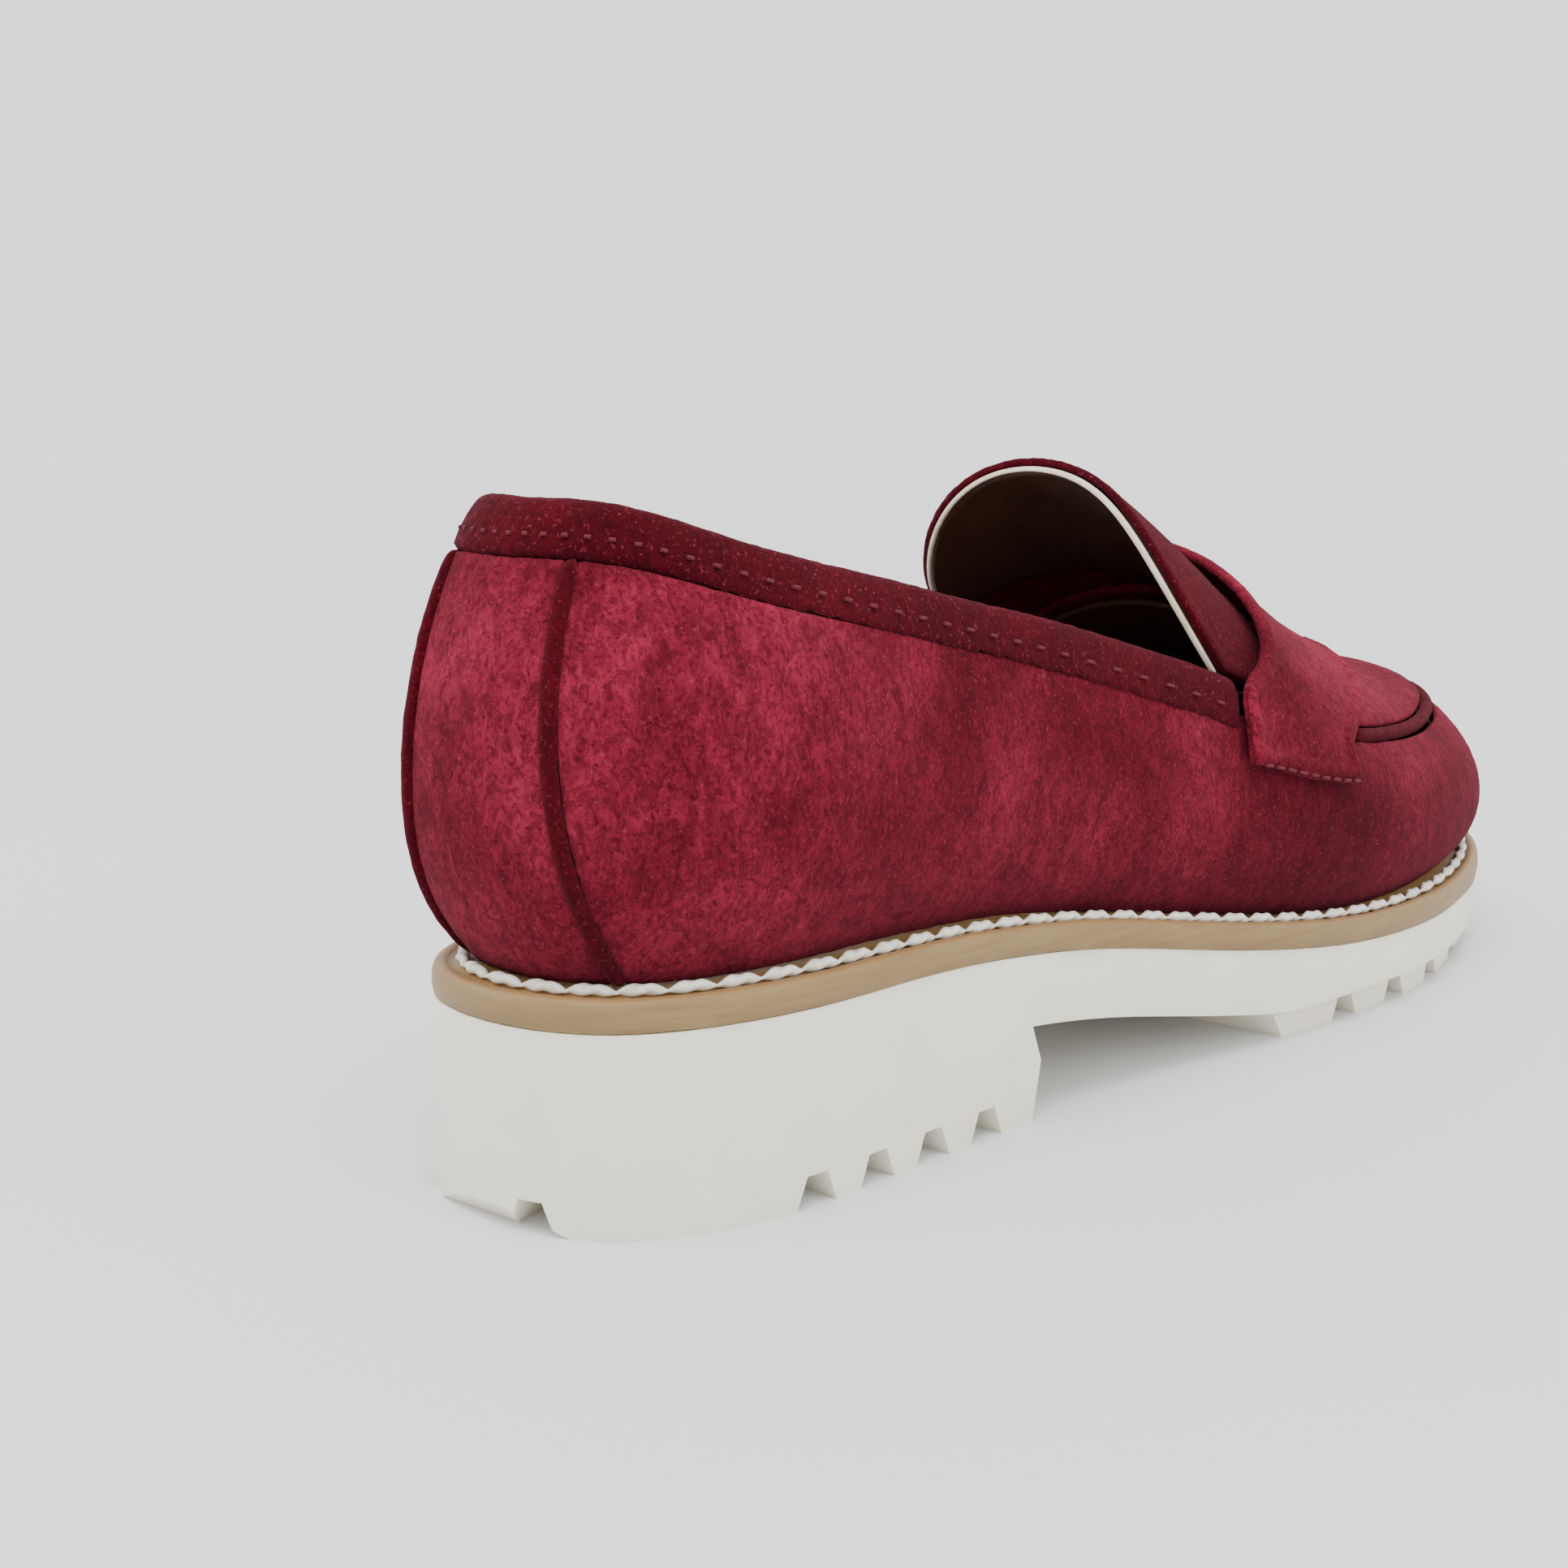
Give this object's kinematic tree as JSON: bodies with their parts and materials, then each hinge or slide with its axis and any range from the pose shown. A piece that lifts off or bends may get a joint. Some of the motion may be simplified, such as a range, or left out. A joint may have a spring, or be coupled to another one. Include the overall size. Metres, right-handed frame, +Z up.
{
  "type": "penny loafer",
  "caption": "Slip-on penny loafer for the right foot, with a saddle strap, a stitched welt and a lug sole.",
  "frame": {"origin": "centre of the shoe's bounding box, on the ground under the tread", "axes": "+X to the outer side of the right foot, +Y to the toe, +Z up"},
  "size_m": [0.1023, 0.2888, 0.1054],
  "materials": {
    "suede": "napped suede, burgundy",
    "lining": "smooth brown lining leather",
    "lining_edge": "cut pale edge",
    "sole": "matt white moulded sole",
    "welt": "tan welt, waxed",
    "thread": "waxed off-white thread",
    "suede_thread": "burgundy thread",
    "board": "pressed insole board",
    "filler": "pressed bottom filler",
    "foam": "soft foam with a cloth face",
    "stiffener": "heat-formed stiffener sheet",
    "steel": "spring steel"
  },
  "bodies": {
    "shoe": {"outsole": "sole", "welt": "welt", "welt_stitches": "thread", "bottom_filler": "filler", "shank": "steel", "insole_board": "board", "heel_cushion": "foam", "sock_lining": "lining", "vamp_and_quarters": "suede", "heel_counter": "suede", "counter_piping": "suede", "counter_stiffener": "stiffener", "toe_puff": "stiffener", "vamp_lining": "lining", "quarter_lining": "lining", "collar_binding": "suede", "collar_padding": "foam", "apron": "suede", "apron_lining": "lining", "apron_seam_cord": "suede", "saddle_strap": "suede", "strap_tab_stitches": "suede_thread", "collar_stitches": "suede_thread"},
    "tongue_flap": {"tongue": "suede", "tongue_lining": "lining", "tongue_edge": "lining_edge"}
  },
  "joints": [
    {"name": "tongue_bend", "type": "hinge", "parent": "shoe", "child": "tongue_flap", "pos_m": [0.00163, 0.00775, 0.07155], "axis": [0.9768, -0.1969, -0.0841], "range_deg": [-8, 4], "stiffness_Nm_per_rad": 0.05}
  ]
}
